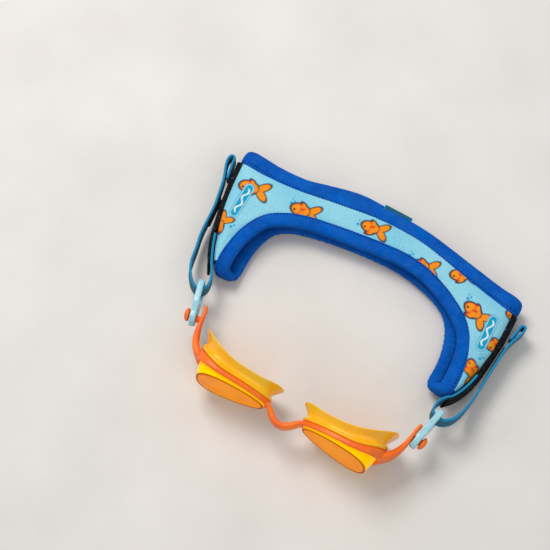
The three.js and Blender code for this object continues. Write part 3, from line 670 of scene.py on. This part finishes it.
def tape(side, data):
    """The loop tape on a side fold: its long edges curl over the fold and its face is a little fuzzy."""
    sign = data["sign"]

    def section_at(centres, lengths):
        flat = rounded_strip(TAPE_THICK, TAPE_TALL, 3, 18)
        section = np.repeat(flat[None], len(lengths), axis=0)
        wrap = TAPE_WRAP * smooth((centres[:, 1] - TAPE_WRAP_FROM_Y) / TAPE_WRAP_LENGTH)
        inward = (section[..., 1] / (TAPE_TALL / 2)) ** 4 * wrap[:, None]
        section[..., 0] -= sign * inward
        fuzz = TAPE_FUZZ * np.sin(lengths * 3.1)[:, None] * np.cos(section[..., 1] * 2.7)
        section[..., 0] += fuzz
        return section

    piece = strip(f"loop_tape_{side}_cloth", data["tape"], sign, section_at, CLOTH_STEP)
    finish_piece(piece, PAINTS["hook"], f"loop_tape_{side}", "strap")


def hook_patch(side, data):
    """The hook patch on the inner face of a tail."""
    def section_at(centres, lengths):
        return rounded_strip(PATCH_THICK, PATCH_TALL)

    name = f"hook_patch_{side}"
    piece = strip(f"{name}_cloth", data["patch"], data["sign"], section_at, CLOTH_STEP)
    finish_piece(piece, PAINTS["hook"], name, f"tail_{side}")


# ---- Neoprene layers ----
def sag_z(x, side, back):
    """A height that is side at the wings and sags to back in the middle of the strap."""
    return side + (back - side) * smooth(SAG_START - np.abs(x - SAG_CENTRE_X) / SAG_REACH)


def layer_grid(upper, near_steps, across_steps):
    """Middle surface of one neoprene layer as a grid [left to right][near to far], with its thickness."""
    near = offset_line(NEAR_UPPER if upper else NEAR_LOWER, LAYER_INSET)
    far = offset_line(FAR_UPPER if upper else FAR_LOWER, -LAYER_INSET)
    folds = {k: Line([[s["sign"] * x, y] for x, y in s["fold"]]) for k, s in SIDES.items()}
    u = np.linspace(0, 1, near_steps)
    full = np.minimum(smooth(u / NEAR_TAPER), smooth((1 - u) / FAR_TAPER))
    thick = LAYER_TIP + (NEOPRENE - LAYER_TIP) * full
    roll = ROLL_TIP + ROLL_SWELL * smooth(u / ROLL_FULL_AT)

    def level(x):
        return sag_z(x, WING_TOP_Z, BACK_TOP_Z) if upper else NEOPRENE / 2 + 0 * x

    def rolled(side, angle):
        at = folds[side].at(u)
        sign = SIDES[side]["sign"]
        flat_z = level(at[:, 0] - sign * (thick / 2 + roll))
        at[:, 0] -= sign * (thick / 2 + roll * (1 - math.cos(angle)))
        at[:, 2] = FOLD_Z + (flat_z - FOLD_Z) * math.sin(angle)
        return at

    left, right = rolled("left", math.pi / 2), rolled("right", math.pi / 2)
    v = np.linspace(0, 1, across_steps)
    n = near.at(NEAR_TRIM + (1 - 2 * NEAR_TRIM) * v)
    f = far.at(FAR_TRIM + (1 - 2 * FAR_TRIM) * v)
    fade_l, fade_r = ((1 - v) ** CORNER_PULL)[:, None], (v ** CORNER_PULL)[:, None]
    n = n + (left[0] - n[0]) * fade_l + (right[0] - n[-1]) * fade_r
    f = f + (left[-1] - f[0]) * fade_l + (right[-1] - f[-1]) * fade_r
    # a sheet through its four edges: the two pairs of edges blended, less the corners counted twice
    uu, vv = u[None, :, None], v[:, None, None]
    grid = n[:, None] * (1 - uu) + f[:, None] * uu + left[None] * (1 - vv) + right[None] * vv
    grid -= (left[0] * (1 - uu) + left[-1] * uu) * (1 - vv) + (right[0] * (1 - uu) + right[-1] * uu) * vv
    grid[..., 2] = level(grid[..., 0])
    quarter = np.linspace(0, math.pi / 2, 34 if upper else 12)[:-1]
    left_roll = np.array([rolled("left", a) for a in quarter])
    right_roll = np.array([rolled("right", a) for a in quarter[::-1]])
    whole = np.concatenate([left_roll, grid, right_roll])
    return whole, thick, u


def fish_distance(x, y):
    """Roughly the distances outside a simple fish's body, tail, eye and side fin. Its nose is towards +x."""
    def blob(cx, cy, a, b, turn):
        c, s = math.cos(turn), math.sin(turn)
        dx, dy = (x - cx) * c + (y - cy) * s, -(x - cx) * s + (y - cy) * c
        return (np.hypot(dx / a, dy / b) - 1) * min(a, b)
    body = blob(1, 0, 4.3, 2.7, 0)
    tail = np.minimum(blob(-5, 1.7, 3, 1.45, -0.7), blob(-5, -1.7, 3, 1.45, 0.7))
    fins = np.minimum(blob(0.4, 2.7, 1.9, 0.9, 0.35), blob(0.2, -2.6, 1.3, 0.7, -0.5))
    return np.minimum(body, fins), tail, blob(3.6, 0.7, 0.5, 0.5, 0), blob(0.2, -0.4, 1.3, 0.75, 0.4)


def printed(points):
    """Print colours for points of the upper layer."""
    def local(at, turn, scale):
        c, s = math.cos(turn), math.sin(turn)
        dx, dy = (points[:, 0] - at[0]) / scale, (points[:, 1] - at[1]) / scale
        return dx * c + dy * s, -dx * s + dy * c

    def over(base, colour, distance):
        cover = np.clip(0.5 - distance / (2 * PRINT_SOFTNESS), 0, 1)[:, None]
        return base * (1 - cover) + np.array(colour[:3]) * cover

    x, y = points[:, 0], points[:, 1]
    tone = (0.5 + 0.5 * np.sin(x * 0.09 + 1.7 * np.sin(y * 0.13)))[:, None]
    out = np.array(rgb(152, 220, 238)[:3]) * (1 - tone) + np.array(rgb(138, 212, 234)[:3]) * tone
    for spot in BUBBLES:
        lx, ly = local(spot, 0, 1)
        for cx, cy, r in BUBBLE_GROUP:
            out = over(out, rgb(20, 165, 210), np.hypot(lx - cx, ly - cy) - r)
    for *spot, turn, scale in FISH:
        lx, ly = local(spot, turn, scale)
        body, tail, eye, fin = fish_distance(lx, ly)
        whole = np.minimum(body, tail)
        out = over(out, rgb(22, 32, 60), whole - FISH_OUTLINE)
        out = over(out, rgb(255, 152, 28), whole)
        out = over(out, rgb(250, 104, 42), np.maximum(body, 0.9 - lx))
        out = over(out, rgb(255, 160, 30), np.maximum(body + 0.3, np.hypot(lx - 3.4, ly) - 2.3))
        out = over(out, rgb(232, 92, 34), fin)
        out = over(out, rgb(26, 38, 66), np.abs(body) - 0.13)
        out = over(out, rgb(24, 26, 40), eye)
    for *spot, turn in MARKS:
        lx, ly = local(spot, turn, 1)
        capsule = np.hypot(np.maximum(np.abs(lx) - MARK_HALF_LENGTH, 0), ly) - MARK_RADIUS
        out = over(out, rgb(10, 168, 206), capsule)
        wave = np.maximum(np.abs(ly - 1.1 * np.sin(lx * 0.75)) - 0.55, np.abs(lx) - 8.6)
        out = over(out, rgb(240, 252, 255), wave)
        out = over(out, rgb(240, 252, 255), np.abs(capsule + 0.75) - 0.16)
    return out


def panel(upper):
    """The upper or the lower neoprene layer. The upper one's grid is fine, for its points hold the print."""
    steps, across_steps = (130, 460) if upper else (24, 100)
    grid, thick, u = layer_grid(upper, steps, across_steps)
    normal = unit(np.cross(np.gradient(grid, axis=0), np.gradient(grid, axis=1)))
    # the padding swells between its seams
    swell = PADDING_SWELL * np.sin(np.pi * u) * (1 if upper else 0)
    top = grid + normal * (thick / 2 + swell)[None, :, None]
    bottom = grid - normal * (thick / 2)[None, :, None]
    rings = np.concatenate([top, bottom[:, ::-1]], axis=1)
    colours = {}
    if upper:
        points = rings.reshape(-1, 3)
        colours["print"] = printed(points).reshape(rings.shape)
        # painted shade: the upper layer's underside is the blue jersey darkened to navy, for it lies in
        # shade
        lining = np.array(rgb(6, 36, 112)[:3])
        colours["print"][:, top.shape[1]:] = lining
    name = "upper_layer" if upper else "lower_layer"
    piece = ring_object(name, rings, attributes=colours)
    paint = PAINTS["print"] if upper else PAINTS["lining"]
    node = "upper_panel" if upper else "lower_panel"
    finish_piece(piece, paint, node, "strap")


# ---- Bindings ----
def heights(points, upper, thick):
    """A binding's plan points with the height of its middle on the upper or the lower layer."""
    p = np.array(points, float)
    if upper:
        z = sag_z(p[:, 0], WING_TOP_Z - BAND_DROP_SIDE, BACK_TOP_Z - BAND_DROP_BACK)
    else:
        z = np.full(len(p), thick / 2 + BAND_LIFT)
    return [list(row) for row in np.column_stack([p[:, :2], z])]


def binding(name, loop, wide_axis, wide, thick, node, groove_at, gather):
    """A folded jersey band round an opening: plump, puckered along its seam and double stitched.

    groove_at is the seam's place across the band, as a share of its half width.
    """
    line = Line(loop, loop=True)
    rows = int(line.length / BAND_STEP)
    shares = np.arange(rows) / rows
    centres = line.at(shares)
    along = unit(np.roll(centres, -1, axis=0) - np.roll(centres, 1, axis=0))
    section = np.repeat(cushion_section(thick, wide)[None], rows, axis=0)
    length = shares * line.length
    # gathers run across the under band, where the jersey is taken up round the opening
    gathered = smooth((FOLD_Z + 2 - centres[:, 2]) / 4)
    pucker = 0.4 * np.sin(length * 1.01) + 0.3 * np.sin(length * 0.63 + 1.3) + 0.3 * np.sin(length * 0.37)
    uneven = 0.55 + 0.45 * np.sin(length * 0.17 + 0.8 * np.sin(length * 0.05))
    gathers = gathered * gather * uneven * np.sin(length * 1.55 + 1.8 * np.sin(length * 0.21))
    share_across = section[..., 1] / (wide / 2)
    seam = np.exp(-(((share_across - groove_at) / SEAM_WIDTH) ** 2))
    section[..., 0] *= 1 - SEAM_DEPTH * seam + PUCKER[0] * pucker[:, None] + GATHER[0] * gathers[:, None]
    section[..., 1] *= 1 + PUCKER[1] * pucker[:, None] + GATHER[1] * gathers[:, None]
    wides = wide_axis(centres)
    rings = swept_rings(centres, along, wides, section)
    piece = ring_object(name, rings, loop_rows=True)
    finish_piece(piece, PAINTS["binding"], node, "strap")
    # two rows of stitches on each face, lying in the seam
    parts = []
    for offset in (groove_at - STITCH_ROW_OFFSET, groove_at + STITCH_ROW_OFFSET):
        for face in (-1, 1):
            parts.append((offset * wide / 2, face * thick / 2 * seam_height(offset, groove_at)))
    stitch_mesh(f"{name}_stitches", line, wide_axis, parts, node)


def seam_height(offset, groove_at, power=BAND_SQUARENESS):
    """Height of the band's surface at an offset across it, as a share of its half thickness."""
    oval_height = (1 - abs(offset) ** power) ** (1 / power)
    return oval_height * (1 - SEAM_DEPTH * math.exp(-(((offset - groove_at) / SEAM_WIDTH) ** 2)))


def stitch_mesh(name, line, wide_axis, tracks, node):
    """Rows of short stitches along line. Each track gives a row's offset across the band and its height."""
    points, faces = [], []
    stations, corners = 5, 6
    count = int(line.length / STITCH_PITCH)
    for across, up in tracks:
        for k in range(count):
            start = k * STITCH_PITCH / line.length
            shares = np.clip(start + np.linspace(0, STITCH_LENGTH, stations) / line.length, 0, 1)
            centres = line.at(shares)
            along = line.along(shares)
            wide = wide_axis(centres)
            wide = unit(wide - along * np.sum(wide * along, axis=-1, keepdims=True))
            thin = np.cross(along, wide)
            middle = centres + wide * across + thin * up
            ends = np.array([0.25, 0.9, 1, 0.9, 0.25]) * STITCH_RADIUS
            dip = np.array([-0.16, 0, 0.03, 0, -0.16]) * np.sign(up)
            angles = np.arange(corners) * 2 * np.pi / corners
            first = len(points)
            for j in range(stations):
                for a in angles:
                    round_off = thin[j] * (dip[j] + ends[j] * math.cos(a)) + wide[j] * ends[j] * math.sin(a)
                    points.append(middle[j] + round_off)
            faces.extend([tuple(first + i for i in face) for face in grid_faces(stations, corners)])
            faces.append(tuple(first + i for i in reversed(range(corners))))
            faces.append(tuple(first + (stations - 1) * corners + i for i in range(corners)))
    piece = mesh_object(name, points, faces)
    finish_piece(piece, PAINTS["thread"], node, "strap")


def near_binding():
    """The band round the opening towards the eye cups, with gathers in its lower run."""
    upper, lower = heights(NEAR_UPPER, True, NEAR_THICK), heights(NEAR_LOWER, False, NEAR_THICK)
    loop = [*upper, *NEAR_TIPS["right"], *lower[::-1], *NEAR_TIPS["left"][::-1]]

    def wide_axis(centres):
        x, y = centres[:, 0] - NEAR_HUB[0], centres[:, 1] - NEAR_HUB[1]
        return np.stack([x, y, 0 * x], axis=-1)

    binding("near_band", loop, wide_axis, NEAR_WIDE, NEAR_THICK, "near_binding", groove_at=0.6, gather=1.0)


def far_binding():
    """The band round the opening at the rear."""
    upper, lower = heights(FAR_UPPER, True, FAR_THICK), heights(FAR_LOWER, False, FAR_THICK)
    corner = {k: [*xy, FOLD_Z] for k, xy in FAR_CORNERS.items()}
    loop = [*upper, corner["right"], *lower[::-1], corner["left"]]

    def wide_axis(centres):
        return np.broadcast_to(np.array([0.0, 1.0, 0.0]), centres.shape)

    binding("far_band", loop, wide_axis, FAR_WIDE, FAR_THICK, "far_binding", groove_at=-0.62, gather=0.0)


def centre_tab():
    """A loop of teal ribbon folded over at its rear end."""
    folded = [[62, 7.9], [70, 7.9], [77, 7.75], [78.3, 7.1], [77, 6.45], [62, 6.3]]
    path = Line([[TAB_X, y, z] for y, z in folded])
    shares = np.linspace(0, 1, 70)
    centres, along = path.at(shares), path.along(shares)
    wide = np.broadcast_to(np.array([1.0, 0.0, 0.0]), centres.shape)
    section = rounded_strip(TAB_THICK, TAB_WIDE, 3, 20)
    rings = swept_rings(centres, along, wide, section)
    # where the webbing's material paints light on the ribbon's edges
    edge = smooth((np.abs(section[:, 1]) - TAB_WIDE / 2 + TAB_EDGE) / 0.6)
    shape = rings.shape[:2]
    lengths = np.broadcast_to((shares * path.length)[:, None], shape)
    run = run_colours(lengths, np.broadcast_to(section[:, 1], shape), np.broadcast_to(edge, shape))
    piece = ring_object("ribbon_tab", rings, attributes={"run": run})
    finish_piece(piece, PAINTS["webbing"], "centre_tab", "strap")


def finish_piece(piece, paint, node, body):
    """Gives a piece its material and slot, lets it ride on a body and puts it in place of a CAD node."""
    piece.data.materials.append(paint)
    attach(piece, body)
    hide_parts(node)


# ---- Stage ----
CAMERA_AZIMUTH = math.radians(29.6)
CAMERA_ELEVATION = math.radians(73)
CAMERA_DISTANCE = 0.93
CAMERA_AIM = np.array([-46.6, 0, 25])
CAMERA_LENS = 101.5
CAMERA_SENSOR = 36.0
FLOOR_SIZE = 6
WORLD_LIGHT = 0.5
# each light's place and size in metres, its power in watts and its colour
LIGHTS = {
    "key": ((-0.55, 0.3, 1.0), 0.5, 8.5, (1, 0.97, 0.93)),
    "fill": ((0.7, -0.5, 0.9), 0.9, 2.2, (0.95, 0.98, 1)),
}


def stage():
    bpy.ops.mesh.primitive_plane_add(size=FLOOR_SIZE)
    floor = bpy.context.object
    floor.name = "floor"
    floor.data.materials.append(floor_paint())


def look_at(thing, place, target):
    thing.location = place
    thing.rotation_euler = (Vector(target) - Vector(place)).to_track_quat("-Z", "Y").to_euler()


def area_light(name, place, size, power, colour):
    light = bpy.data.lights.new(name, "AREA")
    light.size = size
    light.energy = power
    light.color = colour
    lamp = bpy.data.objects.new(name, light)
    bpy.context.scene.collection.objects.link(lamp)
    look_at(lamp, place, (0, 0, 0))


def lighting():
    bpy.context.scene.view_settings.view_transform = "Standard"
    world = bpy.data.worlds.new("soft studio")
    world.use_nodes = True
    background = world.node_tree.nodes["Background"]
    background.inputs["Color"].default_value = (0.97, 0.98, 1.0, 1)
    background.inputs["Strength"].default_value = WORLD_LIGHT
    bpy.context.scene.world = world
    for name, settings in LIGHTS.items():
        area_light(name, *settings)


def camera():
    lens_data = bpy.data.cameras.new("camera")
    lens_data.lens = CAMERA_LENS
    lens_data.sensor_width = CAMERA_SENSOR
    lens_data.clip_start = 0.01
    thing = bpy.data.objects.new("camera", lens_data)
    bpy.context.scene.collection.objects.link(thing)
    aim = (CAMERA_AIM + SHIFT) * MM
    level = math.cos(CAMERA_ELEVATION)
    away = np.array([math.sin(CAMERA_AZIMUTH) * level, -math.cos(CAMERA_AZIMUTH) * level,
                     math.sin(CAMERA_ELEVATION)])
    look_at(thing, tuple(aim + away * CAMERA_DISTANCE), tuple(aim))
    bpy.context.scene.camera = thing


PAINTS = {
    "frame": moulded_paint("orange rubber", (rgb(255, 124, 0), rgb(244, 98, 0)),
                           roughness=0.45, glow=0.04, coat=0.05),
    "lens": lens_paint(),
    "gasket": moulded_paint("yellow silicone", (rgb(255, 196, 0), rgb(255, 180, 0)),
                            roughness=0.25, glow=0.15, coat=0.2),
    "clip": moulded_paint("pale blue plastic", (rgb(166, 214, 226), rgb(146, 202, 218)),
                          roughness=0.25, glow=0.08, coat=0.3),
    "webbing": webbing_paint(),
    "hook": hook_paint(),
    "print": jersey_paint("printed jersey"),
    # painted shade: the lower layer's blue jersey is darkened to navy, for it lies in shade under the upper
    # layer
    "lining": jersey_paint("strap lining", (rgb(8, 44, 128), rgb(4, 32, 104))),
    "binding": jersey_paint("royal jersey", (rgb(0, 100, 200), rgb(0, 82, 176)), knit=1700.0),
    "thread": jersey_paint("blue thread", (rgb(0, 44, 120), rgb(0, 36, 104)), knit=4000.0),
}

mould("frame", PAINTS["frame"], FRAME_VOXEL, 6)
for side, data in SIDES.items():
    mould(f"clip_{side}", PAINTS["clip"], CLIP_VOXEL, 10)
    lens(side, data["sign"])
    gasket(side, data["sign"])
    webbing(side, data)
    tape(side, data)
    hook_patch(side, data)
panel(True)
panel(False)
near_binding()
far_binding()
centre_tab()
stage()
lighting()
camera()
